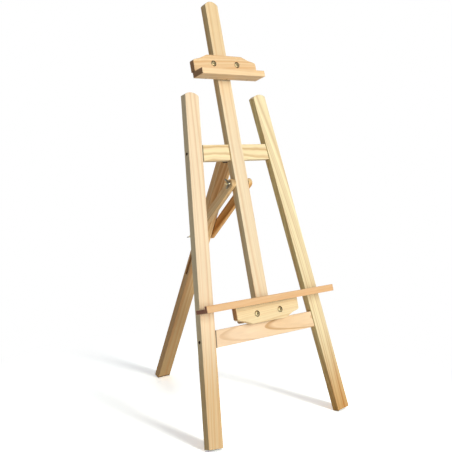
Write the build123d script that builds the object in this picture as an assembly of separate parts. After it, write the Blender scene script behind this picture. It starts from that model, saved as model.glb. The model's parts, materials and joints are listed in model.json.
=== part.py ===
from build123d import *
import os
from math import asin, atan2, cos, radians, sin, sqrt, tan

os.makedirs("parts", exist_ok=True)

# Wooden artist easel, in millimetres. The front frame is drawn in its own plane:
# X across, Y up the slope, Z out of the front faces of the legs.

# Timber sections
board_width = 58.0
board_thick = 28.0
thin_thick = 22.0
eased_edge = 1.5
eased_end = 1.0

# Clearances
hole_gap = 0.05
running_gap = 0.08
slide_gap = 0.2
side_gap = 0.3
overcut = 5.0

# Front legs, cut square at the foot with a small flat where they meet the floor
lean = radians(15.7)
splay = radians(6.9)
leg_length = 1215.0
leg_crown = 10.0
foot_half = 300.5
foot_flat = 2.5

# Mast and crossbars, the upper one hung below the leg tops
lower_bar_low = 318.0
upper_bar_drop = 189.2
mast_rise = 537.5
mast_crown = 15.0
mast_proud = 2.5
dowel_radius = 4.0
dowel_length = 40.0
dowel_half_pitch = 15.0

# Screws that hold the crossbars, sunk in the outer edges of the legs
frame_screw_radius = 3.0
frame_screw_length = 80.0
frame_screw_head_radius = 5.0
frame_screw_head_height = 4.0
frame_screw_grip = 30.0
frame_screw_well_radius = 5.8
screw_point = 6.0

# Steel strap hinge between mast and rear leg, its pin below the top of the upper crossbar
hinge_drop = 14.0
hinge_width = 50.0
leaf_length = 50.0
leaf_thick = 2.0
leaf_round = 5.0
knuckle_radius = 4.0
knuckle_gap = 0.4
middle_knuckle = 17.7
pin_radius = 2.0
pin_head_radius = 3.0
pin_head_height = 1.2
leaf_screw_half_pitch = 14.0
leaf_screw_inset = 10.0
leaf_screw_pitch = 20.0
leaf_screw_radius = 2.0
leaf_screw_length = 18.0
leaf_screw_head_radius = 4.0

# Rear leg, with a slot that leaves the strut bolt room to wander off its middle line
rear_open = radians(40.75)
slot_room = 2.3
slot_length = 184.0

# Struts, pivoted on the mast below the hinge
pivot_drop = 127.5
strut_length = 306.0
strut_width = 32.0
strut_thick = 18.0

# Bolts, washers and wing nuts
bolt_radius = 4.0
bolt_point = 1.0
bolt_rim = 0.8
strut_head_radius = 9.0
strut_head_height = 4.5
bolt_end = 8.0
clamp_head_radius = 8.0
clamp_head_height = 4.5
clamp_well_radius = 11.0
clamp_well_depth = 7.0
washer_radius = 8.5
washer_thick = 1.6
nut_base_radius = 8.0
nut_top_radius = 6.5
nut_height = 9.0
wing_thick = 3.2
wing_outline = ((4.6, 1.2), (13.0, 4.5), (19.0, 14.5), (15.5, 19.0), (11.5, 15.0), (4.6, 8.6))
wing_round = 2.0

# Clamp boards, one above the canvas and its mirror image below the tray
clamp_half = 143.5
clamp_height = 64.0
clamp_ear_height = 43.0
clamp_shoulder_half = 112.0
clamp_shoulder_height = 50.0
clamp_flat_half = 79.0
ear_round = 9.0
shoulder_round = 24.0
flat_round = 14.0
bolt_half_pitch = 53.5
bolt_rise = 32.0
plate_half = 90.0
plate_height = 52.0
plate_round = 8.0

# Canvas holder, hung below the mast top
holder_drop = 300.5
ledge_set_forward = 6.0

# Canvas tray, set above the lower crossbar
tray_rise = 62.0
tray_half = 293.5
tray_base_thick = 15.0
tray_depth = 63.5
lip_thick = 12.0
lip_height = 24.0
lip_round = 3.0

# Screws that hold ledge and tray to their boards
board_screw_radius = 2.25
board_screw_length = 45.0
board_screw_head_radius = 4.5
board_screw_head_height = 2.4
board_screw_pitch = 95.0

# Places that follow from the sizes above
half = board_width / 2
mast_back = mast_proud - board_thick
mast_mid = mast_proud - board_thick / 2
bar_back = mast_back
bar_front = bar_back + thin_thick
bar_mid = (bar_back + bar_front) / 2
lower_bar_high = lower_bar_low + board_width
upper_bar_high = leg_length * cos(splay) - upper_bar_drop
upper_bar_low = upper_bar_high - board_width
mast_top = upper_bar_high + mast_rise
rear_tilt = rear_open - lean
knuckle_room = knuckle_radius + knuckle_gap
hinge_height = upper_bar_high - hinge_drop
hinge_depth = mast_back - knuckle_room
leaf_screw_rows = (leaf_length - leaf_screw_inset - leaf_screw_pitch, leaf_length - leaf_screw_inset)
leaf_face = knuckle_radius - leaf_thick
rear_back = board_thick - leaf_face
rear_top = knuckle_room + slide_gap
slot_line = board_thick / 2 - leaf_face
slot_width = 2 * (bolt_radius + slot_room)
pivot_height = hinge_height - pivot_drop
nut_seat = washer_thick + running_gap
bolt_tail = nut_seat + nut_height + bolt_end
strut_inner = half + side_gap
strut_outer = strut_inner + strut_thick
clamp_back = mast_proud + slide_gap
clamp_front = clamp_back + thin_thick
plate_front = mast_back - slide_gap
plate_back = plate_front - thin_thick
ledge_low = mast_top - holder_drop
ledge_high = ledge_low + thin_thick
ledge_back = clamp_back + ledge_set_forward
ledge_front = ledge_back + board_width
holder_bolt_height = ledge_high + bolt_rise
tray_low = lower_bar_high + tray_rise
tray_bolt_height = tray_low - bolt_rise
tray_front = clamp_back + tray_depth
lip_back = tray_front - lip_thick

# The frame stands on the lowest corners of its legs; the plan is centred on the origin
floor_lift = half * sin(splay) * cos(lean) + board_thick * sin(lean) - foot_flat
hinge_y = hinge_height * sin(lean) - hinge_depth * cos(lean)
hinge_z = hinge_height * cos(lean) + hinge_depth * sin(lean) + floor_lift
rear_length = (hinge_z - leaf_face * sin(rear_tilt) + foot_flat) / cos(rear_tilt)
nearest_y = -(half - eased_edge) * sin(splay) * sin(lean)
farthest_y = hinge_y + rear_length * sin(rear_tilt) + rear_back * cos(rear_tilt)
frame = Plane(origin=(0, -(nearest_y + farthest_y) / 2, floor_lift),
              x_dir=(1, 0, 0), z_dir=(0, -cos(lean), sin(lean)))

# Direction of the struts: their lower bolt lies on the middle line of the slot, at its upper end
pivot_from_hinge = (pivot_height - hinge_height, mast_mid - hinge_depth)
rear_way = (-cos(rear_open), -sin(rear_open))
rear_back_way = (sin(rear_open), -cos(rear_open))
line_from_pivot = (slot_line * rear_back_way[0] - pivot_from_hinge[0],
                   slot_line * rear_back_way[1] - pivot_from_hinge[1])
along_line = line_from_pivot[0] * rear_way[0] + line_from_pivot[1] * rear_way[1]
off_line = line_from_pivot[0] ** 2 + line_from_pivot[1] ** 2 - strut_length ** 2
bolt_on_slot = -along_line + sqrt(along_line ** 2 - off_line)
slot_middle = bolt_on_slot + (slot_length - slot_width) / 2
strut_reach = (line_from_pivot[0] + bolt_on_slot * rear_way[0],
               line_from_pivot[1] + bolt_on_slot * rear_way[1])
strut_angle = atan2(-strut_reach[1], -strut_reach[0])

leg_plane = Plane(origin=(-foot_half, 0, 0), x_dir=(cos(splay), -sin(splay), 0), z_dir=(0, 0, 1))
rear_plane = Plane(origin=(0, hinge_height, hinge_depth),
                   x_dir=(0, *rear_way), z_dir=(1, 0, 0))
strut_plane = Plane(origin=(0, pivot_height, mast_mid),
                    x_dir=(0, -cos(strut_angle), -sin(strut_angle)), z_dir=(1, 0, 0))


def inner_edge(height):
    return foot_half - height * tan(splay) - half / cos(splay)


def prism(face, low, high):
    return extrude(Pos(0, 0, low) * face, amount=high - low)


def block(x_range, y_range, z_range):
    size = [stop - start for start, stop in (x_range, y_range, z_range)]
    middle = [(stop + start) / 2 for start, stop in (x_range, y_range, z_range)]
    return Pos(*middle) * Box(*size)


def rod(radius, start, stop):
    way = Vector(*stop) - Vector(*start)
    base = Plane(origin=start, z_dir=way)
    return base.location * Cylinder(radius, way.length, align=(Align.CENTER, Align.CENTER, Align.MIN))


def turned(outline):
    return revolve(Plane.XZ * make_face(outline), Axis.Z)


def at(point, way):
    return Plane(origin=point, z_dir=way).location


def mirrored(shape):
    return mirror(shape, about=Plane.YZ)


def crowned_board(low, high, rise):
    sides = Polyline((-half, high - rise), (-half, low), (half, low), (half, high - rise))
    crown = ThreePointArc((half, high - rise), (0, high), (-half, high - rise))
    return make_face(sides.edges() + crown.edges())


def round_corner(face, point, radius):
    corner = face.vertices().sort_by_distance((point[0], point[1], 0))[0]
    return fillet(corner, radius)


def sunk_screw(length, radius, head_radius, head_height, gap=0.0):
    outline = Polyline((0, 0), (head_radius + gap, 0), (radius + gap, -head_height),
                       (radius + gap, screw_point - length), (0, -length), close=True)
    return turned(outline.edges())


def seated_screw(length, radius, head_radius, head_height):
    outline = Polyline((0, head_height), (head_radius, head_height), (head_radius, 0), (radius, 0),
                       (radius, screw_point - length), (0, -length), close=True)
    return turned(outline.edges())


def bolt(length, head_radius, head_height):
    shank = Polyline((0, head_height), (0, -length), (bolt_radius - bolt_point, -length),
                     (bolt_radius, bolt_point - length), (bolt_radius, 0), (head_radius, 0),
                     (head_radius, bolt_rim))
    rise = head_height - bolt_rim
    dome_radius = (head_radius ** 2 + rise ** 2) / (2 * rise)
    turn = asin(head_radius / dome_radius) / 2
    middle = (dome_radius * sin(turn), head_height - dome_radius * (1 - cos(turn)))
    dome = ThreePointArc((head_radius, bolt_rim), middle, (0, head_height))
    return turned(shank.edges() + dome.edges())


def washer():
    ring = Circle(washer_radius) - Circle(bolt_radius + hole_gap)
    return extrude(ring, amount=washer_thick)


def wing_nut():
    hub = turned(Polyline((0, 0), (nut_base_radius, 0), (nut_top_radius, nut_height), (0, nut_height),
                          close=True).edges())
    wing = make_face(Polyline(*wing_outline, close=True).edges())
    for corner in wing_outline[1:5]:
        wing = round_corner(wing, corner, wing_round)
    right = extrude(Plane.XZ * wing, amount=wing_thick / 2, both=True)
    bore = Pos(0, 0, nut_height / 2) * Cylinder(bolt_radius + running_gap, nut_height * 2)
    return hub + right + mirrored(right) - bore


def eased_outline(board, face_way):
    front = board.faces().sort_by(face_way)[-1]
    return chamfer(front.edges(), eased_end)


def eased_crown(board):
    return chamfer(board.edges().filter_by(GeomType.CIRCLE), eased_end)


def eased_ends(board):
    ends = board.faces().sort_by(Axis.X)
    return chamfer(ends[0].edges() + ends[-1].edges(), eased_end)


def clamp_outline():
    right = ((clamp_flat_half, clamp_height), (clamp_shoulder_half, clamp_shoulder_height),
             (clamp_half, clamp_ear_height), (clamp_half, 0))
    left = tuple((-x, y) for x, y in reversed(right))
    face = make_face(Polyline(*right, *left, close=True).edges())
    for corner, radius in zip(right, (flat_round, shoulder_round, ear_round)):
        face = round_corner(face, corner, radius)
        face = round_corner(face, (-corner[0], corner[1]), radius)
    return face


def clamp_bolt_places(height, depth):
    return [(side * bolt_half_pitch, height, depth) for side in (-1, 1)]


def bored_front_board(board, height):
    for x, y, z in clamp_bolt_places(height, clamp_front):
        board -= rod(bolt_radius + hole_gap, (x, y, clamp_back - overcut), (x, y, clamp_front))
        board -= rod(clamp_well_radius, (x, y, z - clamp_well_depth), (x, y, z + overcut))
    return board


def rear_plate(height):
    plate = block((-plate_half, plate_half), (height - plate_height / 2, height + plate_height / 2),
                  (plate_back, plate_front))
    plate = fillet(plate.edges().filter_by(Axis.Z), plate_round)
    for x, y, z in clamp_bolt_places(height, plate_front):
        plate -= rod(bolt_radius + hole_gap, (x, y, plate_back - overcut), (x, y, z + overcut))
    return plate


def clamp_bolts(height):
    seat = clamp_front - clamp_well_depth
    length = seat - plate_back + bolt_tail
    piece = bolt(length, clamp_head_radius, clamp_head_height)
    return Compound([Pos(*place) * piece for place in clamp_bolt_places(height, seat)])


def clamp_washers(height):
    places = clamp_bolt_places(height, plate_back)
    return Compound([at(place, (0, 0, -1)) * washer() for place in places])


def clamp_nut(side, height):
    place = (side * bolt_half_pitch, height, plate_back - nut_seat)
    return at(place, (0, 0, -1)) * wing_nut()


def export(name, shape):
    export_step(shape, f"parts/{name}.step")


def export_frame(name, shape):
    export(name, frame.location * shape)


floor = Pos(0, 0, -leg_length / 2) * Box(2 * leg_length, 2 * leg_length, leg_length)

# Crossbar screws
screw_seats = []
for bar_low in (upper_bar_low, lower_bar_low):
    middle_height = bar_low + half
    screw_seats.append((-inner_edge(middle_height) - frame_screw_grip, middle_height, bar_mid))
frame_screw = seated_screw(frame_screw_length, frame_screw_radius, frame_screw_head_radius,
                           frame_screw_head_height)
left_screws = [at(seat, (-1, 0, 0)) * frame_screw for seat in screw_seats]
export_frame("frame_screws", Compound(left_screws + [mirrored(screw) for screw in left_screws]))

screw_holes = [rod(frame_screw_radius + hole_gap, seat, (seat[0] + frame_screw_length, seat[1], seat[2]))
               for seat in screw_seats]
screw_wells = [rod(frame_screw_well_radius, (seat[0] - board_width, seat[1], seat[2]), seat)
               for seat in screw_seats]

# Front legs
leg = prism(crowned_board(0, leg_length, leg_crown), -board_thick, 0)
leg = eased_crown(leg)
leg = leg_plane.location * fillet(leg.edges().filter_by(Axis.Y), eased_edge)
for hole, well in zip(screw_holes, screw_wells):
    leg -= hole
    leg -= well
export("leg_left", frame.location * leg - floor)
export("leg_right", frame.location * mirrored(leg) - floor)


# Crossbars between the legs
def crossbar(low):
    high = low + board_width
    outline = Polyline((-inner_edge(low), low), (inner_edge(low), low),
                       (inner_edge(high), high), (-inner_edge(high), high), close=True)
    bar = prism(make_face(outline.edges()), bar_back, bar_front)
    bar = eased_ends(bar)
    bar = fillet(bar.edges().filter_by(Axis.X), eased_edge)
    for hole in screw_holes:
        bar -= hole
        bar -= mirrored(hole)
    return bar


upper_lap = block((-half, half), (upper_bar_low - overcut, upper_bar_high + overcut),
                  (bar_mid, bar_front + overcut))
upper_crossbar = crossbar(upper_bar_low) - upper_lap
export_frame("upper_crossbar", upper_crossbar)

dowel_holes = []
dowels = []
for side in (-1, 1):
    low_end = (side * dowel_half_pitch, lower_bar_high - dowel_length / 2, bar_mid)
    high_end = (low_end[0], lower_bar_high + dowel_length / 2, bar_mid)
    dowels.append(rod(dowel_radius, low_end, high_end))
    dowel_holes.append(rod(dowel_radius + hole_gap, low_end, high_end))
export_frame("mast_dowels", Compound(dowels))

lower_crossbar = crossbar(lower_bar_low)
for hole in dowel_holes:
    lower_crossbar -= hole
export_frame("lower_crossbar", lower_crossbar)

# Strap hinge: the fixed leaf points up the back of the mast, the other down the rear leg
leaf_screw = sunk_screw(leaf_screw_length, leaf_screw_radius, leaf_screw_head_radius, leaf_thick)
leaf_screw_hole = sunk_screw(leaf_screw_length, leaf_screw_radius, leaf_screw_head_radius,
                             leaf_thick, hole_gap)
leaf_half = hinge_width / 2
middle_half = middle_knuckle / 2
fixed_face = mast_back - leaf_thick
fixed_screw_seats = [at((side * leaf_screw_half_pitch, hinge_height + row, fixed_face), (0, 0, -1))
                     for side in (-1, 1) for row in leaf_screw_rows]
fixed_holes = [seat * leaf_screw_hole for seat in fixed_screw_seats]
pin_line = (hinge_height, hinge_depth)

leaf_fixed = block((-leaf_half, leaf_half), (hinge_height, hinge_height + leaf_length),
                   (fixed_face, mast_back))
leaf_fixed = fillet(leaf_fixed.edges().filter_by(Axis.Z).sort_by(Axis.Y)[-2:], leaf_round)
leaf_fixed += rod(knuckle_radius, (-leaf_half, *pin_line), (leaf_half, *pin_line))
leaf_fixed -= block((-middle_half - side_gap, middle_half + side_gap),
                    (hinge_height - 2 * knuckle_room, hinge_height + knuckle_room),
                    (hinge_depth - 2 * knuckle_room, mast_back + overcut))
leaf_fixed -= rod(pin_radius + hole_gap, (-hinge_width, *pin_line), (hinge_width, *pin_line))
for hole in fixed_holes:
    leaf_fixed -= hole
export_frame("hinge_leaf_mast", leaf_fixed)
export_frame("hinge_screws_mast", Compound([seat * leaf_screw for seat in fixed_screw_seats]))

hinge_pin = rod(pin_radius, (-leaf_half, *pin_line), (leaf_half, *pin_line))
for side in (-1, 1):
    hinge_pin += rod(pin_head_radius, (side * leaf_half, *pin_line),
                     (side * (leaf_half + pin_head_height), *pin_line))
export_frame("hinge_pin", hinge_pin)

# In the plane of the rear leg X runs down the leg, Y to its back and Z across it
leaf_moving = block((0, leaf_length), (-knuckle_radius, -leaf_face), (-leaf_half, leaf_half))
leaf_moving = fillet(leaf_moving.edges().filter_by(Axis.Y).sort_by(Axis.X)[-2:], leaf_round)
for side in (-1, 1):
    clear = sorted((side * middle_half, side * (leaf_half + overcut)))
    leaf_moving -= block((-overcut, knuckle_room), (-2 * knuckle_radius, knuckle_radius), clear)
leaf_moving += rod(knuckle_radius, (0, 0, -middle_half), (0, 0, middle_half))
leaf_moving -= rod(pin_radius + running_gap, (0, 0, -leaf_half), (0, 0, leaf_half))
moving_screw_seats = [at((row, -knuckle_radius, side * leaf_screw_half_pitch), (0, -1, 0))
                      for side in (-1, 1) for row in leaf_screw_rows]
moving_holes = [seat * leaf_screw_hole for seat in moving_screw_seats]
for hole in moving_holes:
    leaf_moving -= hole
export_frame("hinge_leaf_leg", rear_plane.location * leaf_moving)
export_frame("hinge_screws_leg",
             rear_plane.location * Compound([seat * leaf_screw for seat in moving_screw_seats]))

# Mast, standing on the lower crossbar and halved into the upper one
mast = prism(crowned_board(lower_bar_high, mast_top, mast_crown), mast_back, mast_proud)
mast = eased_crown(mast)
mast = fillet(mast.edges().filter_by(Axis.Y), eased_edge)
mast -= block((-board_width, board_width), (upper_bar_low, upper_bar_high), (mast_back - overcut, bar_mid))
pivot_end = (pivot_height, mast_mid)
mast -= rod(bolt_radius + hole_gap, (-board_width, *pivot_end), (board_width, *pivot_end))
for hole in dowel_holes + fixed_holes:
    mast -= hole
export_frame("mast", mast)

# Rear leg with its slot
rear_leg = block((rear_top, rear_length), (-leaf_face, rear_back), (-half, half))
rear_leg = fillet(rear_leg.edges().filter_by(Axis.X), eased_edge)
slot_face = Pos(slot_middle, slot_line) * SlotOverall(slot_length, slot_width)
rear_leg -= prism(slot_face, -board_width, board_width)
for hole in moving_holes:
    rear_leg -= hole
export("rear_leg", frame.location * rear_plane.location * rear_leg - floor)

# Struts: the bolt through the mast stays with the mast, the one in the slot moves with the struts
strut_face = Pos(strut_length / 2, 0) * SlotCenterToCenter(strut_length, strut_width)
strut = prism(strut_face, strut_inner, strut_outer)
strut = chamfer(strut.faces().sort_by(Axis.Z)[-1].edges(), eased_edge)
strut -= rod(bolt_radius + running_gap, (0, 0, 0), (0, 0, board_width))
strut -= rod(bolt_radius + hole_gap, (strut_length, 0, 0), (strut_length, 0, board_width))
strut_right = strut_plane.location * strut
export_frame("strut_right", strut_right)
export_frame("strut_left", mirrored(strut_right))

pivot_seat = strut_outer + side_gap
slide_end = (pivot_height + strut_reach[0], mast_mid + strut_reach[1])
for name, seat, end, wing_way in (("pivot", pivot_seat, pivot_end, (0, 1, 0)),
                                  ("slide", strut_outer, slide_end, (0, 0, 1))):
    piece = bolt(2 * seat + bolt_tail, strut_head_radius, strut_head_height)
    export_frame(f"{name}_bolt", at((seat, *end), (1, 0, 0)) * piece)
    export_frame(f"{name}_washer", at((-seat, *end), (-1, 0, 0)) * washer())
    nut_plane = Plane(origin=(-seat - nut_seat, *end), x_dir=wing_way, z_dir=(-1, 0, 0))
    export_frame(f"{name}_wing_nut", nut_plane.location * wing_nut())


# Screws driven along the slope through a ledge or tray into its board
def board_screws(height, depth, way):
    screw = sunk_screw(board_screw_length, board_screw_radius, board_screw_head_radius,
                       board_screw_head_height)
    hole = sunk_screw(board_screw_length, board_screw_radius, board_screw_head_radius,
                      board_screw_head_height, hole_gap)
    seats = [at((step * board_screw_pitch, height, depth), (0, way, 0)) for step in (-1, 0, 1)]
    return [seat * screw for seat in seats], [seat * hole for seat in seats]


# Canvas holder on the mast
holder_screws, holder_holes = board_screws(ledge_low, (ledge_back + clamp_front) / 2, -1)
holder_board = prism(Pos(0, ledge_high) * clamp_outline(), clamp_back, clamp_front)
holder_board = eased_outline(holder_board, Axis.Z)
holder_board = bored_front_board(holder_board, holder_bolt_height)
ledge = block((-clamp_half, clamp_half), (ledge_low, ledge_high), (ledge_back, ledge_front))
ledge = eased_ends(ledge)
ledge = fillet(ledge.edges().filter_by(Axis.X), eased_edge)
for hole in holder_holes:
    holder_board -= hole
    ledge -= hole
export_frame("holder_board", holder_board)
export_frame("holder_ledge", ledge)
export_frame("holder_screws", Compound(holder_screws))
export_frame("holder_plate", rear_plate(holder_bolt_height))
export_frame("holder_bolts", clamp_bolts(holder_bolt_height))
export_frame("holder_washers", clamp_washers(holder_bolt_height))
export_frame("holder_wing_nut_left", clamp_nut(-1, holder_bolt_height))
export_frame("holder_wing_nut_right", clamp_nut(1, holder_bolt_height))

# Canvas tray on the mast
tray_screws, tray_holes = board_screws(tray_low + tray_base_thick, (clamp_back + clamp_front) / 2, 1)
tray_board = prism(Pos(0, tray_low) * mirror(clamp_outline(), about=Plane.XZ), clamp_back, clamp_front)
tray_board = eased_outline(tray_board, Axis.Z)
tray_board = bored_front_board(tray_board, tray_bolt_height)
tray_base = block((-tray_half, tray_half), (tray_low, tray_low + tray_base_thick), (clamp_back, lip_back))
tray_base = eased_ends(tray_base)
for hole in tray_holes:
    tray_board -= hole
    tray_base -= hole
tray_lip = block((-tray_half, tray_half), (tray_low, tray_low + lip_height), (lip_back, tray_front))
tray_lip = eased_ends(tray_lip)
lip_top = tray_lip.faces().sort_by(Axis.Y)[-1]
tray_lip = fillet(lip_top.edges().filter_by(Axis.X), lip_round)
export_frame("tray_board", tray_board)
export_frame("tray_base", tray_base)
export_frame("tray_lip", tray_lip)
export_frame("tray_screws", Compound(tray_screws))
export_frame("tray_plate", rear_plate(tray_bolt_height))
export_frame("tray_bolts", clamp_bolts(tray_bolt_height))
export_frame("tray_washers", clamp_washers(tray_bolt_height))
export_frame("tray_wing_nut_left", clamp_nut(-1, tray_bolt_height))
export_frame("tray_wing_nut_right", clamp_nut(1, tray_bolt_height))
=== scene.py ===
import json
import math

import bmesh
import bpy
from mathutils import Matrix, Vector


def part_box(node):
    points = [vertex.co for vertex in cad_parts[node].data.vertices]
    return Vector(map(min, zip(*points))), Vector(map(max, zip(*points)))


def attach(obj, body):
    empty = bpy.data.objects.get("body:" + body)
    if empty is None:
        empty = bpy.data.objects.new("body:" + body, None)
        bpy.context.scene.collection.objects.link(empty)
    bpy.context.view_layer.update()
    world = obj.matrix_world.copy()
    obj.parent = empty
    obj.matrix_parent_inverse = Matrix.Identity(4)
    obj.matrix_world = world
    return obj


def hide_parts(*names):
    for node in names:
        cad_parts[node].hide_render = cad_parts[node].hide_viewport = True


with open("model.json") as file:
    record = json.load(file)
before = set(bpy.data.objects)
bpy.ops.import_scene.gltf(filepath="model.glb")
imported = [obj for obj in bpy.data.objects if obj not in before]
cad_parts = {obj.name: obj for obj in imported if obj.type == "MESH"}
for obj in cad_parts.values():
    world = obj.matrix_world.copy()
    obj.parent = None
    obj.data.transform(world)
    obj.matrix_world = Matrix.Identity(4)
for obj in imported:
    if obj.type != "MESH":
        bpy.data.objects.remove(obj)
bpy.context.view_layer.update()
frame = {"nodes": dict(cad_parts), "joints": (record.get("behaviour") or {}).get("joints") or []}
nodes = frame["nodes"]
joints = {joint["name"]: joint for joint in frame["joints"]}
millimetre = 0.001
print("frame loaded,", len(nodes), "nodes")

# The easel's own directions, from its joints and the angles of its legs
legSplay = math.radians(6.9)
rearOpening = math.radians(40.75)
across = Vector((1, 0, 0))
slope = Vector(joints["holder_slide"]["axis"]).normalized()  # up the mast
outward = Vector(joints["holder_wing_nut_left_turn"]["axis"]).normalized()  # out of the front faces
leftLegWay = slope * math.cos(legSplay) + across * math.sin(legSplay)
rightLegWay = slope * math.cos(legSplay) - across * math.sin(legSplay)
rearWay = slope * math.cos(rearOpening) + outward * math.sin(rearOpening)  # up the rear leg
rearFront = outward * math.cos(rearOpening) - slope * math.sin(rearOpening)
pivotPoint = Vector(joints["strut_swing"]["pos_m"])
slidePoint = Vector(joints["slide_wing_nut_turn"]["pos_m"])
slidePoint.x = pivotPoint.x
strutWay = (pivotPoint - slidePoint).normalized()


def nodePoints(node):
    return [vertex.co for vertex in nodes[node].data.vertices]


def reach(points, way):
    # lowest and highest of some points along a direction
    heights = [point.dot(way) for point in points]
    return min(heights), max(heights)


def middle(points, way):
    return sum(reach(points, way)) / 2


def linear(code):
    # sRGB hex to linear RGBA
    channels = [int(code[i:i + 2], 16) / 255 for i in (0, 2, 4)]
    return [c / 12.92 if c <= 0.04045 else ((c + 0.055) / 1.055) ** 2.4 for c in channels] + [1.0]


def perMetre(sizeMm):
    # how often a pattern of this size comes in a metre
    return 1 / (sizeMm * millimetre)


def addNode(tree, kind, settings=None, values=None, links=None, stops=None):
    # a colour Mix has its two colours at inputs 6 and 7 and gives output 2
    node = tree.nodes.new(kind)
    for key, value in (settings or {}).items():
        setattr(node, key, value)
    for key, value in (values or {}).items():
        node.inputs[key].default_value = value
    for key, source in (links or {}).items():
        tree.links.new(source, node.inputs[key])
    for count, (position, level) in enumerate(stops or ()):
        while len(node.color_ramp.elements) <= count:
            node.color_ramp.elements.new(1.0)
        node.color_ramp.elements[count].position = position
        node.color_ramp.elements[count].color = (level, level, level, 1.0)
    return node


def startMaterial(name):
    material = bpy.data.materials.new(name)
    material.use_nodes = True
    material.node_tree.nodes.clear()
    return material, material.node_tree


# Planed pine: pale spring wood, tan summer wood, brown end grain, matt and unvarnished
pine = {
    "fibreMm": 5.0,  # real fibres are finer, drawn coarse so that they show
    "fibreStretch": 60.0,
    "fibreTone": 0.22,
    "stainMm": 170.0,
    "stainTone": 0.1,
    "bareTone": 0.84,  # before fibres and stains lighten it
    "swayMm": 6.0,
    "swayAcrossMm": 70.0,
    "bowReach": 0.5,  # metres along the board
    "ringShape": ((1.6, 0.03), (0.5, 1.0), (0.14, 0.85)),  # line widths before the ring ends, depth
    "weakestRing": 0.1,
    "bandMm": 9.0,
    "bandFrom": (0.4, 0.72),
    "sideFrom": (0.6, 0.95),  # how squarely a face has to look that way, none of it to all of it
    "endFrom": (0.55, 0.95),
    "frontFrom": (0.3, 0.8),
    # painted shade and dust: the colour for corners, hollows and the joint crack
    "dirt": "2e1f12",
    "dirtReachMm": 14.0,
    "dirtFrom": (0.32, 0.62),  # how open a spot lies, fully shaded to unshaded
    "dirtRays": 8,
    "crackMm": (4.8, 7.2),
    "crackLight": 0.15,
    "dullest": 0.64,
    "glossiest": 0.47,
    "lateRelief": 0.5,
    "relief": 0.35,
    "reliefMm": 0.12,
    "ior": 1.45,
    "gloss": 0.35,
}


def growthRings(tree, local, look):
    # rings round the heart, swaying and bowed along the board
    swayAcross = perMetre(pine["swayAcrossMm"])
    slow = addNode(tree, "ShaderNodeMapping", {},
                   {"Scale": (swayAcross, perMetre(look["swayLengthMm"]), swayAcross)}, {"Vector": local})
    sway = addNode(tree, "ShaderNodeTexNoise", {}, {"Scale": 1.0, "Detail": 2.0, "Roughness": 0.4},
                   {"Vector": slow.outputs["Vector"]})
    swayed = addNode(tree, "ShaderNodeVectorMath", {"operation": "MULTIPLY_ADD"},
                     {1: (look["sway"] * pine["swayMm"] * millimetre,) * 3},
                     {0: sway.outputs["Color"], 2: local})
    parts = addNode(tree, "ShaderNodeSeparateXYZ", links={0: swayed.outputs["Vector"]})
    along = addNode(tree, "ShaderNodeSeparateXYZ", links={0: local})
    square = addNode(tree, "ShaderNodeMath", {"operation": "MULTIPLY"},
                     links={0: along.outputs["Y"], 1: along.outputs["Y"]})
    bowed = addNode(tree, "ShaderNodeMath", {"operation": "MULTIPLY_ADD"},
                    {1: -look["bow"] * millimetre / pine["bowReach"] ** 2},
                    {0: square.outputs[0], 2: parts.outputs["X"]})
    flat = addNode(tree, "ShaderNodeCombineXYZ", links={"X": bowed.outputs[0], "Z": parts.outputs["Z"]})
    radius = addNode(tree, "ShaderNodeVectorMath", {"operation": "LENGTH"},
                     links={0: flat.outputs["Vector"]})
    phase = addNode(tree, "ShaderNodeMath", {"operation": "MULTIPLY_ADD"},
                    {1: perMetre(look["ringMm"]), 2: look["seed"]}, {0: radius.outputs["Value"]})
    within = addNode(tree, "ShaderNodeMath", {"operation": "FRACT"}, links={0: phase.outputs[0]})
    line = [(1 - widths * look["line"], depth) for widths, depth in pine["ringShape"]]
    ring = addNode(tree, "ShaderNodeValToRGB", links={"Fac": within.outputs[0]},
                   stops=[(0.0, 0.0)] + line + [(1.0, 0.0)])
    count = addNode(tree, "ShaderNodeMath", {"operation": "FLOOR"}, links={0: phase.outputs[0]})
    chance = addNode(tree, "ShaderNodeTexWhiteNoise", {"noise_dimensions": "1D"},
                     links={"W": count.outputs[0]})
    strength = addNode(tree, "ShaderNodeMapRange", {}, {"To Min": pine["weakestRing"], "To Max": 1.0},
                       {"Value": chance.outputs["Value"]})
    late = addNode(tree, "ShaderNodeMath", {"operation": "MULTIPLY"},
                   links={0: ring.outputs["Color"], 1: strength.outputs[0]})
    return swayed.outputs["Vector"], along.outputs["Y"], radius.outputs["Value"], late.outputs[0]


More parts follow.
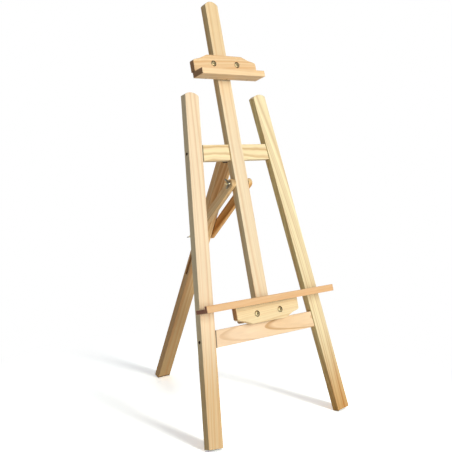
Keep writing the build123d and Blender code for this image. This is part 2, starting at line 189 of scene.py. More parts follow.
def woodColour(tree, local, rings, look):
    # spring and summer wood from the foot of the board to its head, then bands, fibres and stains
    swayed, along, radius, late = rings
    footShare = addNode(tree, "ShaderNodeMapRange", {"interpolation_type": "SMOOTHSTEP"},
                        {"From Min": look["footReach"][0] * millimetre,
                         "From Max": look["footReach"][1] * millimetre}, {"Value": along})
    contrast = addNode(tree, "ShaderNodeMapRange", {},
                       {"To Min": look["contrast"] * look["footLines"], "To Max": look["contrast"]},
                       {"Value": footShare.outputs[0]})
    lateShare = addNode(tree, "ShaderNodeMath", {"operation": "MULTIPLY"},
                        links={0: late, 1: contrast.outputs[0]})
    early = addNode(tree, "ShaderNodeMix", {"data_type": "RGBA"},
                    {6: linear(look["foot"]), 7: linear(look["early"])}, {0: footShare.outputs[0]})
    wood = addNode(tree, "ShaderNodeMix", {"data_type": "RGBA"}, {7: linear(look["late"])},
                   {0: lateShare.outputs[0], 6: early.outputs[2]})
    bandPlace = addNode(tree, "ShaderNodeMath", {"operation": "MULTIPLY_ADD"},
                        {1: perMetre(pine["bandMm"]), 2: look["seed"]}, {0: radius})
    band = addNode(tree, "ShaderNodeTexNoise", {"noise_dimensions": "1D"}, {"Scale": 1.0, "Detail": 1.0},
                   {"W": bandPlace.outputs[0]})
    bandShare = addNode(tree, "ShaderNodeMapRange", {},
                        {"From Min": pine["bandFrom"][0], "From Max": pine["bandFrom"][1],
                         "To Max": look["band"]}, {"Value": band.outputs["Fac"]})
    banded = addNode(tree, "ShaderNodeMix", {"data_type": "RGBA"}, {7: linear(look["late"])},
                     {0: bandShare.outputs[0], 6: wood.outputs[2]})
    fibres = perMetre(pine["fibreMm"])
    fibrePlace = addNode(tree, "ShaderNodeMapping", {},
                         {"Scale": (fibres, fibres / pine["fibreStretch"], fibres)}, {"Vector": swayed})
    fibre = addNode(tree, "ShaderNodeTexNoise", {}, {"Scale": 1.0, "Detail": 4.0, "Roughness": 0.65},
                    {"Vector": fibrePlace.outputs["Vector"]})
    stain = addNode(tree, "ShaderNodeTexNoise", {}, {"Scale": perMetre(pine["stainMm"]), "Detail": 2.0},
                    {"Vector": local})
    fibreTone = addNode(tree, "ShaderNodeMath", {"operation": "MULTIPLY_ADD"},
                        {1: pine["fibreTone"], 2: pine["bareTone"]}, {0: fibre.outputs["Fac"]})
    tone = addNode(tree, "ShaderNodeMath", {"operation": "MULTIPLY_ADD"}, {1: pine["stainTone"]},
                   {0: stain.outputs["Fac"], 2: fibreTone.outputs[0]})
    toned = addNode(tree, "ShaderNodeVectorMath", {"operation": "SCALE"},
                    links={0: banded.outputs[2], "Scale": tone.outputs[0]})
    return toned.outputs[0], fibre.outputs["Fac"]


def endsAndPaintedShade(tree, place, colour, sideWay, grainWay, faceWay, look):
    normal = place.outputs["Normal"]
    if "edge" in look:
        # painted shade: the narrow sides get a darker, duller tint
        sideOn = addNode(tree, "ShaderNodeVectorMath", {"operation": "DOT_PRODUCT"}, {1: sideWay},
                         {0: normal})
        sideFlat = addNode(tree, "ShaderNodeMath", {"operation": "ABSOLUTE"},
                           links={0: sideOn.outputs["Value"]})
        sideShadeShare = addNode(tree, "ShaderNodeMapRange", {},
                            {"From Min": pine["sideFrom"][0], "From Max": pine["sideFrom"][1]},
                            {"Value": sideFlat.outputs[0]})
        sideShaded = addNode(tree, "ShaderNodeMix", {"data_type": "RGBA", "blend_type": "MULTIPLY"},
                        {7: linear(look["edge"])}, {0: sideShadeShare.outputs[0], 6: colour})
        colour = sideShaded.outputs[2]

    # end grain drinks the light; corners and hollows get painted shade, with some dust
    endOn = addNode(tree, "ShaderNodeVectorMath", {"operation": "DOT_PRODUCT"}, {1: grainWay}, {0: normal})
    endFlat = addNode(tree, "ShaderNodeMath", {"operation": "ABSOLUTE"}, links={0: endOn.outputs["Value"]})
    endShare = addNode(tree, "ShaderNodeMapRange", {},
                       {"From Min": pine["endFrom"][0], "From Max": pine["endFrom"][1],
                        "To Max": look["endShare"]}, {"Value": endFlat.outputs[0]})
    sawn = addNode(tree, "ShaderNodeMix", {"data_type": "RGBA"}, {7: linear(look["end"])},
                   {0: endShare.outputs[0], 6: colour})
    hollow = addNode(tree, "ShaderNodeAmbientOcclusion", {"samples": pine["dirtRays"]},
                     {"Distance": pine["dirtReachMm"] * millimetre})
    unshaded = addNode(tree, "ShaderNodeMapRange", {},
                    {"From Min": pine["dirtFrom"][0], "From Max": pine["dirtFrom"][1]},
                    {"Value": hollow.outputs["AO"]})
    shaded = addNode(tree, "ShaderNodeMix", {"data_type": "RGBA"}, {6: linear(pine["dirt"])},
                   {0: unshaded.outputs[0], 7: sawn.outputs[2]})
    if "joint" in look:
        # the crack beside the left leg, on the front a little open, dark with painted shade in the gap and
        # some dust
        jointWay, jointPlace = look["joint"]
        fromLeg = addNode(tree, "ShaderNodeVectorMath", {"operation": "DOT_PRODUCT"}, {1: jointWay},
                          {0: place.outputs["Object"]})
        shut = addNode(tree, "ShaderNodeMapRange", {},
                       {"From Min": jointPlace + pine["crackMm"][0] * millimetre,
                        "From Max": jointPlace + pine["crackMm"][1] * millimetre,
                        "To Min": pine["crackLight"]}, {"Value": fromLeg.outputs["Value"]})
        frontOn = addNode(tree, "ShaderNodeVectorMath", {"operation": "DOT_PRODUCT"}, {1: faceWay},
                          {0: normal})
        elsewhere = addNode(tree, "ShaderNodeMapRange", {},
                            {"From Min": pine["frontFrom"][0], "From Max": pine["frontFrom"][1],
                             "To Min": 1.0, "To Max": 0.0}, {"Value": frontOn.outputs["Value"]})
        whole = addNode(tree, "ShaderNodeMath", {"operation": "MAXIMUM"},
                        links={0: shut.outputs[0], 1: elsewhere.outputs[0]})
        shaded = addNode(tree, "ShaderNodeMix", {"data_type": "RGBA"}, {6: linear(pine["dirt"])},
                       {0: whole.outputs[0], 7: shaded.outputs[2]})
    return shaded.outputs[2]


def pineMaterial(name, centre, grainWay, faceWay, look):
    # the heart is the line that the growth rings go round, behind the face and nearly along the grain
    material, tree = startMaterial(name)
    sideWay = grainWay.cross(faceWay).normalized()
    board = Matrix((sideWay, grainWay, faceWay)).transposed()
    lean, turn = (math.radians(angle) for angle in look["tilt"])
    heartAxes = board @ Matrix.Rotation(lean, 3, "X") @ Matrix.Rotation(turn, 3, "Z")
    heart = centre + board @ (Vector(look["heart"]) * millimetre)
    place = addNode(tree, "ShaderNodeTexCoord")
    fromHeart = addNode(tree, "ShaderNodeMapping", {"vector_type": "TEXTURE"},
                        {"Location": heart, "Rotation": heartAxes.to_euler()},
                        {"Vector": place.outputs["Object"]})
    local = fromHeart.outputs["Vector"]
    rings = growthRings(tree, local, look)
    colour, fibre = woodColour(tree, local, rings, look)
    colour = endsAndPaintedShade(tree, place, colour, sideWay, grainWay, faceWay, look)
    late = rings[-1]
    rough = addNode(tree, "ShaderNodeMapRange", {},
                    {"To Min": pine["dullest"], "To Max": pine["glossiest"]}, {"Value": late})
    relief = addNode(tree, "ShaderNodeMath", {"operation": "MULTIPLY_ADD"}, {1: pine["lateRelief"]},
                     {0: late, 2: fibre})
    bump = addNode(tree, "ShaderNodeBump", {},
                   {"Strength": pine["relief"], "Distance": pine["reliefMm"] * millimetre},
                   {"Height": relief.outputs[0]})
    shader = addNode(tree, "ShaderNodeBsdfPrincipled", {},
                     {"IOR": pine["ior"], "Specular IOR Level": pine["gloss"]},
                     {"Base Color": colour, "Roughness": rough.outputs[0],
                      "Normal": bump.outputs["Normal"]})
    addNode(tree, "ShaderNodeOutputMaterial", links={"Surface": shader.outputs["BSDF"]})
    return material


# Each board's cut. early, late: spring and summer wood; foot: the tone at the low or left end;
# heart: side, along and out of the face in mm; tilt: degrees towards the face and sideways;
# bow: mm at half a metre; edge: a painted-shade tint over the narrow sides
plainCut = {"footReach": (-100, 100), "footLines": 1.0, "line": 0.5, "bow": 10, "sway": 1.0,
            "swayLengthMm": 240, "end": "a87b4e", "endShare": 0.6}
legLeft = {"early": "f5ddbd", "foot": "ddbf94", "footReach": (-420, -120), "footLines": 4.1,
           "late": "d69b5b", "contrast": 0.17, "band": 0.35, "ringMm": 5.2, "seed": 3.0,
           "heart": (-70, -50, -30), "tilt": (0.3, 0.0), "bow": -12, "sway": 0.8, "edge": "eef5ee"}
legRight = {"early": "faeac0", "foot": "cd9b55", "footReach": (-540, -60), "footLines": 4.9,
            "late": "b87a38", "contrast": 0.28, "band": 0.5, "ringMm": 8.0, "seed": 11.0,
            "heart": (60, -170, -40), "tilt": (0.4, 0.0), "bow": -20, "edge": "f5f1d6"}
mast = {"early": "eccfa3", "foot": "f3ddbc", "footReach": (0, 550),
        "late": "d39858", "contrast": 0.2, "band": 0.3, "ringMm": 4.6, "seed": 5.0,
        "heart": (40, 0, -40), "tilt": (0.4, 0.1), "bow": 6, "sway": 0.8, "edge": "eeebda"}
upperBar = {"early": "f8e1b5", "late": "c18a44", "contrast": 0.62, "band": 0.2, "ringMm": 23.0,
            "seed": 2.77, "line": 0.28, "heart": (-75, 0, -24), "tilt": (0.4, -1.0), "bow": 40,
            "sway": 6.0, "swayLengthMm": 120}
lowerBar = {"early": "f5d4ad", "foot": "f6d7b6",
            "late": "ba8340", "contrast": 0.85, "band": 0.15, "ringMm": 13.0, "seed": 21.457,
            "line": 0.14, "heart": (-5, 0, -46), "tilt": (3.5, 0.4), "bow": 0, "sway": 0.6}
rearLeg = {"early": "f3d19c", "foot": "caa877", "footReach": (-300, 300), "footLines": 0.7,
           "late": "c07832", "contrast": 0.72, "band": 0.45, "ringMm": 8.0, "seed": 4.0,
           "heart": (-28, 0, -34), "tilt": (0.6, 0.5), "end": "8a6540"}
strutLeft = {"early": "f8d6a2", "late": "cf924e", "contrast": 0.45, "band": 0.3, "ringMm": 6.0,
             "seed": 8.0, "heart": (20, 0, -40), "tilt": (1.0, 0.5), "end": "8a6540", "endShare": 0.5}
strutRight = {"early": "eebb78", "late": "bb7426", "contrast": 0.7, "band": 0.5, "ringMm": 6.0,
              "seed": 9.0, "heart": (-20, 0, -45), "tilt": (-1.0, 0.5), "end": "e6c592", "endShare": 0.8}
holderBoard = {"early": "f2d1a5", "late": "d49959", "contrast": 0.45, "band": 0.4, "ringMm": 6.0,
               "seed": 1.0, "heart": (40, 0, -60), "tilt": (1.2, 0.6), "end": "8f6238", "endShare": 0.85}
holderLedge = {"early": "f6d4a9", "late": "dba565", "contrast": 0.4, "band": 0.35, "ringMm": 5.0,
               "seed": 6.0, "heart": (-40, 0, -50), "tilt": (1.0, 0.4), "sway": 0.8, "end": "845a34",
               "endShare": 0.85}
trayBoard = {"early": "f4dfb5", "late": "d5a15f", "contrast": 0.45, "band": 0.3, "ringMm": 4.0,
             "seed": 12.0, "heart": (45, 0, -40), "tilt": (0.8, 0.5), "sway": 0.8, "end": "b07a45",
             "endShare": 0.85}
trayBase = {"early": "f1d0a0", "late": "d59b5e", "contrast": 0.5, "band": 0.4, "ringMm": 5.0,
            "seed": 13.0, "heart": (25, 0, -60), "tilt": (1.2, 0.5), "bow": 8, "end": "8c5240",
            "endShare": 0.9}
trayLip = {"early": "e9bc8d", "late": "da9c5e", "contrast": 0.35, "band": 0.5, "ringMm": 4.0,
           "seed": 14.0, "heart": (30, 0, -60), "tilt": (0.6, 0.3), "bow": 8, "end": "8c5240",
           "endShare": 0.9}
rearPlates = {"early": "f0d4a4", "late": "d09a5c", "contrast": 0.6, "band": 0.4, "ringMm": 5.0,
              "seed": 15.0, "heart": (18, 0, -55), "tilt": (1.5, 0.5), "bow": 8, "end": "9c6c40",
              "endShare": 0.7}
dowels = {"early": "dfb98a", "late": "c08f5c", "contrast": 0.4, "band": 0.3, "ringMm": 3.0,
          "seed": 16.0, "heart": (0, 0, -40), "tilt": (0.5, 0.5), "bow": 0, "sway": 0.5, "end": "b58a5c",
          "endShare": 0.5}
legSide = leftLegWay.cross(outward)
legEdge = reach(nodePoints("leg_left"), legSide)[1]
# painted shade in the crack where the crossbars meet the left leg
upperBar["joint"] = (legSide, legEdge)
lowerBar["joint"] = (legSide, legEdge)
boards = {
    "leg_left": (leftLegWay, outward, legLeft),
    "leg_right": (rightLegWay, outward, legRight),
    "mast": (slope, outward, mast),
    "upper_crossbar": (across, outward, upperBar),
    "lower_crossbar": (across, outward, lowerBar),
    "rear_leg": (rearWay, rearFront, rearLeg),
    "strut_left": (strutWay, across, strutLeft),
    "strut_right": (strutWay, across, strutRight),
    "holder_board": (across, outward, holderBoard),
    "holder_ledge": (across, outward, holderLedge),
    "holder_plate": (across, outward, rearPlates),
    "tray_board": (across, outward, trayBoard),
    "tray_base": (across, slope, trayBase),
    "tray_lip": (across, outward, trayLip),
    "tray_plate": (across, outward, rearPlates),
    "mast_dowels": (slope, outward, dowels),
}
for node, (grainWay, faceWay, cut) in boards.items():
    low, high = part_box(node)
    look = {**plainCut, "foot": cut["early"], **cut}
    wood = pineMaterial("planed_pine_" + node, (low + high) / 2, grainWay, faceWay, look)
    nodes[node].material_slots[0].material = wood
print("planed pine on", len(boards), "boards")


# Plated steel: a thin coat that gives a soft sheen, a little mottled and dulled by handling
plating = {"relief": 0.15, "reliefMm": 0.05}


def platedMaterial(name, look):
    material, tree = startMaterial(name)
    place = addNode(tree, "ShaderNodeTexCoord")
    spangle = addNode(tree, "ShaderNodeTexNoise", {},
                      {"Scale": perMetre(look["spangleMm"]), "Detail": 3.0},
                      {"Vector": place.outputs["Object"]})
    tint = addNode(tree, "ShaderNodeMix", {"data_type": "RGBA"},
                   {6: linear(look["bright"]), 7: linear(look["dull"])}, {0: spangle.outputs["Fac"]})
    rough = addNode(tree, "ShaderNodeMapRange", {}, {"To Min": look["smooth"], "To Max": look["rough"]},
                    {"Value": spangle.outputs["Fac"]})
    bump = addNode(tree, "ShaderNodeBump", {},
                   {"Strength": plating["relief"], "Distance": plating["reliefMm"] * millimetre},
                   {"Height": spangle.outputs["Fac"]})
    shader = addNode(tree, "ShaderNodeBsdfPrincipled", {}, {"Metallic": 1.0},
                     {"Base Color": tint.outputs[2], "Roughness": rough.outputs[0],
                      "Normal": bump.outputs["Normal"]})
    addNode(tree, "ShaderNodeOutputMaterial", links={"Surface": shader.outputs["BSDF"]})
    return material


# yellow zinc is a pale gold, the castings and the hinge are greyer and duller, phosphate is nearly black
boltSteel = platedMaterial("yellow_zinc_bolt_steel", {
    "bright": "e2d0a6", "dull": "a8956a", "smooth": 0.28, "rough": 0.42, "spangleMm": 2.5})
nutSteel = platedMaterial("zinc_plated_cast_wing_nut", {
    "bright": "958c7b", "dull": "5e5649", "smooth": 0.24, "rough": 0.42, "spangleMm": 3.0})
hingeSteel = platedMaterial("dull_zinc_hinge_strap", {
    "bright": "565049", "dull": "3a3530", "smooth": 0.4, "rough": 0.6, "spangleMm": 5.0})
screwSteel = platedMaterial("yellow_zinc_screw_steel", {
    "bright": "d8bc82", "dull": "b0945c", "smooth": 0.32, "rough": 0.5, "spangleMm": 2.0})
blackSteel = platedMaterial("black_phosphate_screw_steel", {
    "bright": "4a4743", "dull": "2c2a28", "smooth": 0.4, "rough": 0.6, "spangleMm": 2.0})
fittings = {"wing_nut": nutSteel, "bolt": boltSteel, "washer": boltSteel, "leaf": hingeSteel,
            "pin": hingeSteel, "frame_screws": blackSteel, "screws": screwSteel}
for node, piece in nodes.items():
    if node not in boards:
        kind = next(word for word in fittings if word in node)
        piece.material_slots[0].material = fittings[kind]
print("plating on the fittings")


# Fittings are drawn in mm, Z out of their seat, and then set in place on the easel
weld = 0.01  # mm
sharpAngle = math.radians(38)  # edges that turn more stay crisp


def placing(point, way, sideWay):
    otherWay = way.cross(sideWay)
    turn = Matrix((sideWay, otherWay, way)).transposed().to_4x4()
    return Matrix.Translation(point) @ turn @ Matrix.Scale(millimetre, 4)


def lathe(bm, outline, segments):
    verts = [bm.verts.new((radius, 0, height)) for radius, height in outline]
    edges = [bm.edges.new(pair) for pair in zip(verts, verts[1:])]
    bmesh.ops.spin(bm, geom=verts + edges, cent=(0, 0, 0), axis=(0, 0, 1), angle=math.tau, steps=segments,
                   use_merge=True)
    bmesh.ops.remove_doubles(bm, verts=bm.verts, dist=weld)


def move(bm, geometry, shift):
    verts = [part for part in geometry if isinstance(part, bmesh.types.BMVert)]
    bmesh.ops.translate(bm, verts=verts, vec=shift)


def makePiece(prefix, node, template, places, body):
    # one drawn shape at each of its places, with the steel of the CAD node that it replaces
    shape = bpy.data.meshes.new("shape")
    bmesh.ops.recalc_face_normals(template, faces=template.faces)
    template.to_mesh(shape)
    template.free()
    bm = bmesh.new()
    for place in places:
        before = len(bm.verts)
        bm.from_mesh(shape)
        bm.verts.ensure_lookup_table()
        bmesh.ops.transform(bm, matrix=place, verts=bm.verts[before:])
    bpy.data.meshes.remove(shape)
    mesh = bpy.data.meshes.new(prefix + node)
    bm.to_mesh(mesh)
    bm.free()
    mesh.materials.append(nodes[node].material_slots[0].material)
    mesh.polygons.foreach_set("use_smooth", [True] * len(mesh.polygons))
    mesh.set_sharp_from_angle(angle=sharpAngle)
    piece = bpy.data.objects.new(prefix + node, mesh)
    bpy.context.scene.collection.objects.link(piece)
    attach(piece, body)
    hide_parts(node)
    print(piece.name, len(mesh.polygons), "faces")


# M8 furniture bolts with a low domed head and a six-sided socket
bolt = {"shank": 3.95, "endTaper": 1.0, "solidHead": 4.5, "crownShare": 0.52, "domeSteps": 6,
        "headBevel": 0.3, "socket": 2.9, "socketSides": 6, "socketDeep": 2.4, "segments": 24,
        "pitch": 1.25, "threadDeep": 0.65, "threadCrest": (0.42, 0.58), "threadSteps": 18,
        "threadStart": 1.5, "spareTurns": 2, "cutClose": 0.0001}
strutBolts = {**bolt, "headRadius": 9.0, "headHeight": 4.5, "rim": 0.8, "thread": 26.0}
clampBolts = {**bolt, "headRadius": 9.8, "headHeight": 8.5, "rim": 4.5, "thread": 42.0}


def addThread(bm, look, start, stop):
    # one turn's profile swept as a helix past both ends, then cut square
    root = look["shank"] - look["threadDeep"]
    crestFrom, crestTo = look["threadCrest"]
    profile = ((root, 0.0), (look["shank"], crestFrom), (look["shank"], crestTo), (root, 1.0))
    turns = math.ceil((stop - start) / look["pitch"]) + look["spareTurns"]
    foot = start - look["threadStart"] * look["pitch"]
    helix = bmesh.new()
    verts = [helix.verts.new((radius, 0, foot + share * look["pitch"])) for radius, share in profile]
    edges = [helix.edges.new(pair) for pair in zip(verts, verts[1:])]
    bmesh.ops.spin(helix, geom=verts + edges, cent=(0, 0, 0), axis=(0, 0, 1),
                   dvec=(0, 0, look["pitch"] / look["threadSteps"]), angle=math.tau * turns,
                   steps=look["threadSteps"] * turns)
    bmesh.ops.remove_doubles(helix, verts=helix.verts, dist=weld)
    for height, side in ((start, -1), (stop, 1)):
        bmesh.ops.bisect_plane(helix, geom=helix.verts[:] + helix.edges[:] + helix.faces[:],
                               dist=look["cutClose"], plane_co=(0, 0, height), plane_no=(0, 0, side),
                               clear_outer=True)
    bmesh.ops.holes_fill(helix, edges=[edge for edge in helix.edges if edge.is_boundary], sides=0)
    thread = bpy.data.meshes.new("thread")
    helix.to_mesh(thread)
    helix.free()
    bm.from_mesh(thread)
    bpy.data.meshes.remove(thread)


def addSocket(bm, look):
    # six-sided hole in the flat of the head, closed at its foot
    rim = [edge for edge in bm.edges if edge.is_boundary]
    hexagon = bmesh.ops.create_circle(bm, segments=look["socketSides"], radius=look["socket"])["verts"]
    move(bm, hexagon, (0, 0, look["headHeight"]))
    bmesh.ops.subdivide_edges(bm, edges=[edge for edge in bm.edges if edge.is_wire],
                              cuts=look["segments"] // look["socketSides"] - 1)
    inner = [edge for edge in bm.edges if edge.is_wire]
    bmesh.ops.bridge_loops(bm, edges=rim + inner)
    sunk = bmesh.ops.extrude_edge_only(bm, edges=inner)["geom"]
    move(bm, sunk, (0, 0, -look["socketDeep"]))
    bmesh.ops.holes_fill(bm, edges=[edge for edge in bm.edges if edge.is_boundary], sides=0)


def boltShape(look, length):
    bm = bmesh.new()
    radius, height, rim, bevel = (look[key] for key in ("headRadius", "headHeight", "rim", "headBevel"))
    crown = radius * look["crownShare"]
    plain = look["thread"] - length  # where the thread meets the plain shank
    outline = [(0, plain), (look["shank"], plain), (look["shank"], 0), (radius - bevel, 0),
               (radius, bevel)]
    for step in range(look["domeSteps"] + 1):
        # domed from the rim up to the flat round the socket
        turn = math.pi / 2 * step / look["domeSteps"]
        outline.append((crown + (radius - crown) * math.cos(turn), rim + (height - rim) * math.sin(turn)))
    lathe(bm, outline, look["segments"])
    addSocket(bm, look)
    addThread(bm, look, -length, plain)
    for vertex in bm.verts:
        # the tip is turned down a little so that the nut starts
        room = look["shank"] - look["endTaper"] + (vertex.co.z + length)
        away = math.hypot(vertex.co.x, vertex.co.y)
        if away > room:
            vertex.co.x *= room / away
            vertex.co.y *= room / away
    return bm


def onAxis(joint, height):
    # the point of a clamp's axis at a height out of the front faces
    point = Vector(joints[joint]["pos_m"])
    return point + outward * (height - point.dot(outward))


strutAxes = {"pivot": ("frame", pivotPoint, slope), "slide": ("struts", slidePoint, outward)}
for name, (body, centre, wingWay) in strutAxes.items():
    node = name + "_bolt"
    low, high = (end / millimetre for end in reach(nodePoints(node), across))
    seat = high - strutBolts["solidHead"]
    point = Vector((seat * millimetre, centre.y, centre.z))
    makePiece("threaded_", node, boltShape(strutBolts, seat - low), [placing(point, across, slope)], body)
for name in ("holder", "tray"):
    node = name + "_bolts"
    low, high = (end / millimetre for end in reach(nodePoints(node), outward))
    seat = high - clampBolts["solidHead"]
    places = []
    for side in ("left", "right"):
        point = onAxis(f"{name}_wing_nut_{side}_turn", seat * millimetre)
        places.append(placing(point, outward, across))
    makePiece("threaded_", node, boltShape(clampBolts, seat - low), places, name)


# Cast wing nuts: a tapered hub and two rounded ears
wingNut = {"bore": 4.0, "base": 8.0, "top": 6.5, "tall": 9.0, "chamfer": 0.5, "baseBevel": 0.4,
           "topFlare": 0.3, "shoulder": 0.8, "segments": 28, "earThick": 3.2, "earRound": 2.2,
           "earSteps": 4, "edgeRound": 1.0, "edgeSteps": 3, "edgeAngle": math.radians(57),
           "ear": ((4.6, 1.2), (13.0, 4.5), (19.0, 14.5), (15.5, 19.0), (11.5, 15.0), (4.6, 8.6))}


def wingNutShape(look):
    bm = bmesh.new()
    corners = [bm.verts.new((radius, -look["earThick"] / 2, height)) for radius, height in look["ear"]]
    bm.faces.new(corners)
    bmesh.ops.bevel(bm, geom=corners[1:-1], offset=look["earRound"], offset_type="OFFSET",
                    segments=look["earSteps"], profile=0.5, affect="VERTICES", material=-1)
    grown = bmesh.ops.extrude_face_region(bm, geom=bm.faces[:])["geom"]
    move(bm, grown, (0, look["earThick"], 0))
    bmesh.ops.recalc_face_normals(bm, faces=bm.faces)
    rims = [edge for edge in bm.edges if edge.calc_face_angle(0) > look["edgeAngle"]]
    bmesh.ops.bevel(bm, geom=rims, offset=look["edgeRound"], offset_type="OFFSET",
                    segments=look["edgeSteps"], profile=0.5, affect="EDGES", material=-1)
    twin = bmesh.ops.duplicate(bm, geom=bm.verts[:] + bm.edges[:] + bm.faces[:])["geom"]
    bmesh.ops.rotate(bm, verts=[part for part in twin if isinstance(part, bmesh.types.BMVert)],
                     cent=(0, 0, 0), matrix=Matrix.Rotation(math.pi, 3, "Z"))
    bore, base, top, tall, chamfer = (look[key] for key in ("bore", "base", "top", "tall", "chamfer"))
    outside = [(base - look["baseBevel"], 0), (base, chamfer),
               (top + look["topFlare"], tall - look["shoulder"]), (top - chamfer, tall)]
    inside = [(bore + chamfer, tall), (bore, tall - chamfer), (bore, chamfer), (bore + chamfer, 0)]
    lathe(bm, inside[-1:] + outside + inside, look["segments"])
    return bm


for name, (body, centre, wingWay) in strutAxes.items():
    node = name + "_wing_nut"
    seat = reach(nodePoints(node), across)[1]
    place = placing(Vector((seat, centre.y, centre.z)), -across, wingWay)
    makePiece("cast_", node, wingNutShape(wingNut), [place], node)
for name in ("holder", "tray"):
    for side in ("left", "right"):
        node = f"{name}_wing_nut_{side}"
        seat = reach(nodePoints(node), outward)[1]
        place = placing(onAxis(node + "_turn", seat), -outward, across)
        makePiece("cast_", node, wingNutShape(wingNut), [place], node)


# Wood screws with a cross recess
screw = {"segments": 24, "point": 6.0, "crownShare": 0.86, "crossShare": 0.6, "rimWide": 0.15,
         "rimTall": 0.25, "domeTall": 0.8}
frameScrews = {**screw, "length": 80.0, "radius": 3.0, "headRadius": 5.0, "headHeight": 4.0, "sunk": False}
leafScrews = {**screw, "length": 18.0, "radius": 2.0, "headRadius": 4.0, "headHeight": 2.0, "sunk": True,
              "halfPitch": 14.0}
boardScrews = {**screw, "length": 45.0, "radius": 2.25, "headRadius": 4.5, "headHeight": 2.4, "sunk": True,
               "pitch": 95.0}


def addCross(bm, size, deep, height):
    # cross-shaped recess in a flat screw head
    rim = [edge for edge in bm.edges if edge.is_boundary]
    before = set(bm.faces)
    bmesh.ops.create_grid(bm, x_segments=3, y_segments=3, size=size,
                          matrix=Matrix.Translation((0, 0, height)))
    grid = [face for face in bm.faces if face not in before]
    middles = {face: face.calc_center_median() for face in grid}
    corners = [face for face, spot in middles.items() if min(abs(spot.x), abs(spot.y)) > size / 2]
    bmesh.ops.delete(bm, geom=corners, context="FACES")
    cross = [face for face in bm.faces if face not in before]
    inner = [edge for edge in bm.edges if edge.is_boundary and edge not in rim]
    sunk = bmesh.ops.extrude_face_region(bm, geom=cross)["geom"]
    move(bm, sunk, (0, 0, -deep))
    bmesh.ops.delete(bm, geom=cross, context="FACES")
    bmesh.ops.bridge_loops(bm, edges=rim + inner)


def screwShape(look):
    # a sunk head tapers into the shank below the face, a seated one stands on its shoulder
    bm = bmesh.new()
    shank, radius, height = (look[key] for key in ("radius", "headRadius", "headHeight"))
    crown = look["crownShare"] * radius
    outline = [(0, -look["length"]), (shank, look["point"] - look["length"])]
    if look["sunk"]:
        top = 0
        outline += [(shank, -height), (radius, -look["rimTall"]), (radius - look["rimWide"], 0),
                    (crown, 0)]
    else:
        top = height
        outline += [(shank, 0), (radius, 0), (radius, height - look["domeTall"]), (crown, height)]
    lathe(bm, outline, look["segments"])
    addCross(bm, look["crossShare"] * radius, look["crossShare"] * height, top)
    return bm


points = nodePoints("frame_screws")
halfway = middle(points, slope)
places = []
for side in (-1, 1):
    for above in (False, True):
        one = [point for point in points if point.x * side > 0 and (point.dot(slope) > halfway) == above]
        seat = reach(one, across * side)[1] - frameScrews["headHeight"] * millimetre
        point = across * side * seat + slope * middle(one, slope) + outward * middle(one, outward)
        places.append(placing(point, across * side, slope))
makePiece("crossed_", "frame_screws", screwShape(frameScrews), places, "frame")

for name, body, way, face in (("mast", "frame", slope, -outward), ("leg", "rear_leg", rearWay, rearFront)):
    points = nodePoints("hinge_screws_" + name)
    low, high = reach(points, way)
    seat = face * reach(points, face)[1]
    headRadius = leafScrews["headRadius"] * millimetre
    places = []
    for side in (-1, 1):
        for row in (low + headRadius, high - headRadius):
            point = across * side * leafScrews["halfPitch"] * millimetre + way * row + seat
            places.append(placing(point, face, across))
    makePiece("crossed_", "hinge_screws_" + name, screwShape(leafScrews), places, body)

for name, face in (("holder", -slope), ("tray", slope)):
    points = nodePoints(name + "_screws")
    seat = face * reach(points, face)[1] + outward * middle(points, outward)
    places = []
    for step in (-1, 0, 1):
        point = across * step * boardScrews["pitch"] * millimetre + seat
        places.append(placing(point, face, across))
    makePiece("crossed_", name + "_screws", screwShape(boardScrews), places, name)
print("fittings modelled")


# Camera at the photograph's angle
view = {"place": (-1.77695, -2.29219, 1.04188), "toward": (0.61796, 0.77632, -0.12431), "lens": 61.71,
        "sensor": 36.0}
cameraData = bpy.data.cameras.new("camera")
cameraData.sensor_width = view["sensor"]
cameraData.lens = view["lens"]
camera = bpy.data.objects.new("camera", cameraData)
camera.location = view["place"]
camera.rotation_euler = Vector(view["toward"]).to_track_quat("-Z", "Y").to_euler()
bpy.context.scene.collection.objects.link(camera)
bpy.context.scene.camera = camera

# Studio: a tall strip of soft light in front, a weak broad one behind and a dim pale room
studio = {"lampPlace": (0.9, -8.1, 3.65), "lampWide": 1.8, "lampTall": 6.4, "lampPower": 608.0,
          "fillPlace": (3.6, 7.4, 2.5), "fillWide": 3.0, "fillTall": 3.0, "fillPower": 150.0,
          "lampAim": (0.0, -0.1, 0.75), "lampTone": "f7faf3",
          "room": "f1f3f6", "roomLight": 0.33, "white": "ffffff", "sweepFrom": -0.1, "sweepTo": 0.3,
          "floorSize": 60.0, "floorTone": "fdfeff", "shadowNear": 0.5, "shadowFar": 1.1,
          "floorBounce": 0.75,  # what the paper throws back on the easel
          "floorSeen": 2.18}  # to the eye, bright enough that lit paper is white
for name in ("lamp", "fill"):
    lampData = bpy.data.lights.new("soft_" + name, "AREA")
    lampData.shape = "RECTANGLE"
    lampData.size = studio[name + "Wide"]
    lampData.size_y = studio[name + "Tall"]
    lampData.energy = studio[name + "Power"]
    lampData.color = linear(studio["lampTone"])[:3]
    lamp = bpy.data.objects.new("soft_" + name, lampData)
    lamp.location = studio[name + "Place"]
    lamp.rotation_euler = (Vector(studio["lampAim"]) - lamp.location).to_track_quat("-Z", "Y").to_euler()
    bpy.context.scene.collection.objects.link(lamp)


def seenShare(tree, paths, mirrored):
    # 1 for what the eye meets straight, through glass or in metal
    direct = addNode(tree, "ShaderNodeMath", {"operation": "MAXIMUM"},
                     links={0: paths.outputs["Is Camera Ray"], 1: paths.outputs["Is Transmission Ray"]})
    seen = addNode(tree, "ShaderNodeMath", {"operation": "MAXIMUM"},
                   links={0: direct.outputs[0], 1: mirrored})
    return seen.outputs[0]


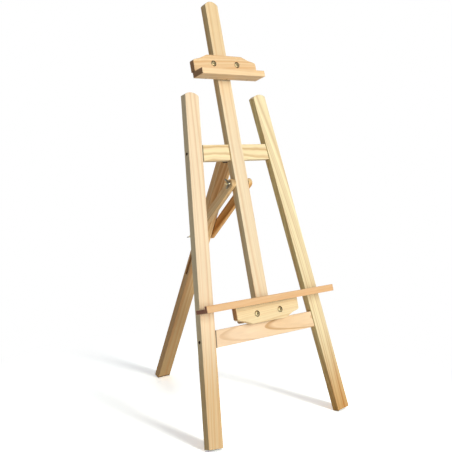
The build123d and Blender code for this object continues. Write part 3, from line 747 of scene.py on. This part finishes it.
# the eye meets white all round, and metal mirrors the white sweep behind the easel
world = bpy.data.worlds.new("room")
bpy.context.scene.world = world
world.use_nodes = True
tree = world.node_tree
tree.nodes.clear()
paths = addNode(tree, "ShaderNodeLightPath")
rayWay = addNode(tree, "ShaderNodeTexCoord")
rayParts = addNode(tree, "ShaderNodeSeparateXYZ", links={0: rayWay.outputs["Generated"]})
behind = addNode(tree, "ShaderNodeMapRange", {},
                 {"From Min": studio["sweepFrom"], "From Max": studio["sweepTo"]},
                 {"Value": rayParts.outputs["Y"]})
mirrored = addNode(tree, "ShaderNodeMath", {"operation": "MULTIPLY"},
                   links={0: behind.outputs[0], 1: paths.outputs["Is Glossy Ray"]})
seen = seenShare(tree, paths, mirrored.outputs[0])
roomLight = addNode(tree, "ShaderNodeBackground", {},
                    {"Color": linear(studio["room"]), "Strength": studio["roomLight"]})
backdrop = addNode(tree, "ShaderNodeBackground", {}, {"Color": linear(studio["white"]), "Strength": 1.0})
either = addNode(tree, "ShaderNodeMixShader",
                 links={0: seen, 1: roomLight.outputs[0], 2: backdrop.outputs[0]})
addNode(tree, "ShaderNodeOutputWorld", links={"Surface": either.outputs[0]})

bm = bmesh.new()
bmesh.ops.create_grid(bm, x_segments=1, y_segments=1, size=studio["floorSize"] / 2)
floorMesh = bpy.data.meshes.new("floor")
bm.to_mesh(floorMesh)
bm.free()
floor = bpy.data.objects.new("floor", floorMesh)
bpy.context.scene.collection.objects.link(floor)

# Matt studio paper: shows the easel's shadow, and past it is plain white to the eye
material, tree = startMaterial("matt_studio_paper")
paths = addNode(tree, "ShaderNodeLightPath")
seen = seenShare(tree, paths, paths.outputs["Is Glossy Ray"])
paleness = addNode(tree, "ShaderNodeMix", {}, {2: studio["floorBounce"], 3: studio["floorSeen"]},
                   {0: seen})
toned = addNode(tree, "ShaderNodeVectorMath", {"operation": "SCALE"}, {0: linear(studio["floorTone"])[:3]},
                {"Scale": paleness.outputs[0]})
paper = addNode(tree, "ShaderNodeBsdfDiffuse", {}, {"Roughness": 0.0}, {"Color": toned.outputs["Vector"]})
spot = addNode(tree, "ShaderNodeTexCoord")
distance = addNode(tree, "ShaderNodeVectorMath", {"operation": "LENGTH"},
                   links={0: spot.outputs["Object"]})
farAway = addNode(tree, "ShaderNodeMapRange", {"interpolation_type": "SMOOTHSTEP"},
                  {"From Min": studio["shadowNear"], "From Max": studio["shadowFar"]},
                  {"Value": distance.outputs["Value"]})
whiteShare = addNode(tree, "ShaderNodeMath", {"operation": "MULTIPLY"},
                     links={0: farAway.outputs[0], 1: seen})
white = addNode(tree, "ShaderNodeEmission", {}, {"Color": linear(studio["white"]), "Strength": 1.0})
sweep = addNode(tree, "ShaderNodeMixShader",
                links={0: whiteShare.outputs[0], 1: paper.outputs[0], 2: white.outputs[0]})
addNode(tree, "ShaderNodeOutputMaterial", links={"Surface": sweep.outputs[0]})
floorMesh.materials.append(material)
bpy.context.scene.view_settings.view_transform = "Standard"
print("camera and studio ready")
